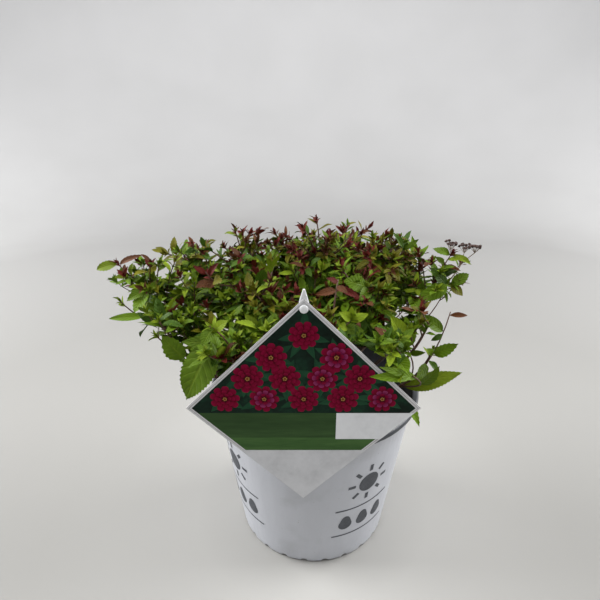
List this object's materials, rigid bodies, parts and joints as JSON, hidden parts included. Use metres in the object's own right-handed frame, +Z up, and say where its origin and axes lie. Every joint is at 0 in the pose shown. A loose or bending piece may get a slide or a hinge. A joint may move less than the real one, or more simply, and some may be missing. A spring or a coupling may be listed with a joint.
{
  "type": "potted spirea shrub",
  "caption": "Low, spreading young spirea shrub in a round tapered nursery pot, with a square plant label hung by one corner on a stake in front.",
  "frame": {"origin": "centre of the pot's flat underside", "axes": "+Z up; -Y towards the side with the plant label; +X to the right of someone who faces the label"},
  "size_m": [0.3169, 0.2658, 0.3024],
  "materials": {
    "pot_plastic": "satin",
    "soil": "matte",
    "label_card": "satin",
    "stake_plastic": "satin",
    "bark": "matte",
    "leaf": "satin"
  },
  "bodies": {
    "root": {"pot": "pot_plastic", "soil": "soil", "label_card": "label_card", "label_stake": "stake_plastic", "woody_base": "bark", "stem_top": "bark", "foliage_top": "leaf", "stem_inner_left": "bark", "foliage_inner_left": "leaf", "stem_inner_front_left": "bark", "foliage_inner_front_left": "leaf", "stem_inner_front_right": "bark", "foliage_inner_front_right": "leaf", "stem_inner_right": "bark", "foliage_inner_right": "leaf", "stem_inner_back_right": "bark", "foliage_inner_back_right": "leaf", "stem_inner_back_left": "bark", "foliage_inner_back_left": "leaf", "stem_left": "bark", "foliage_left": "leaf", "stem_left_front": "bark", "foliage_left_front": "leaf", "stem_front_left": "bark", "foliage_front_left": "leaf", "stem_front": "bark", "foliage_front": "leaf", "stem_front_right": "bark", "foliage_front_right": "leaf", "stem_right_front": "bark", "foliage_right_front": "leaf", "stem_right": "bark", "foliage_right": "leaf", "stem_right_back": "bark", "foliage_right_back": "leaf", "stem_back_right": "bark", "foliage_back_right": "leaf", "stem_back": "bark", "foliage_back": "leaf", "stem_back_left": "bark", "foliage_back_left": "leaf", "stem_left_back": "bark", "foliage_left_back": "leaf", "stem_low_left": "bark", "foliage_low_left": "leaf", "stem_low_right": "bark", "foliage_low_right": "leaf"}
  },
  "joints": []
}
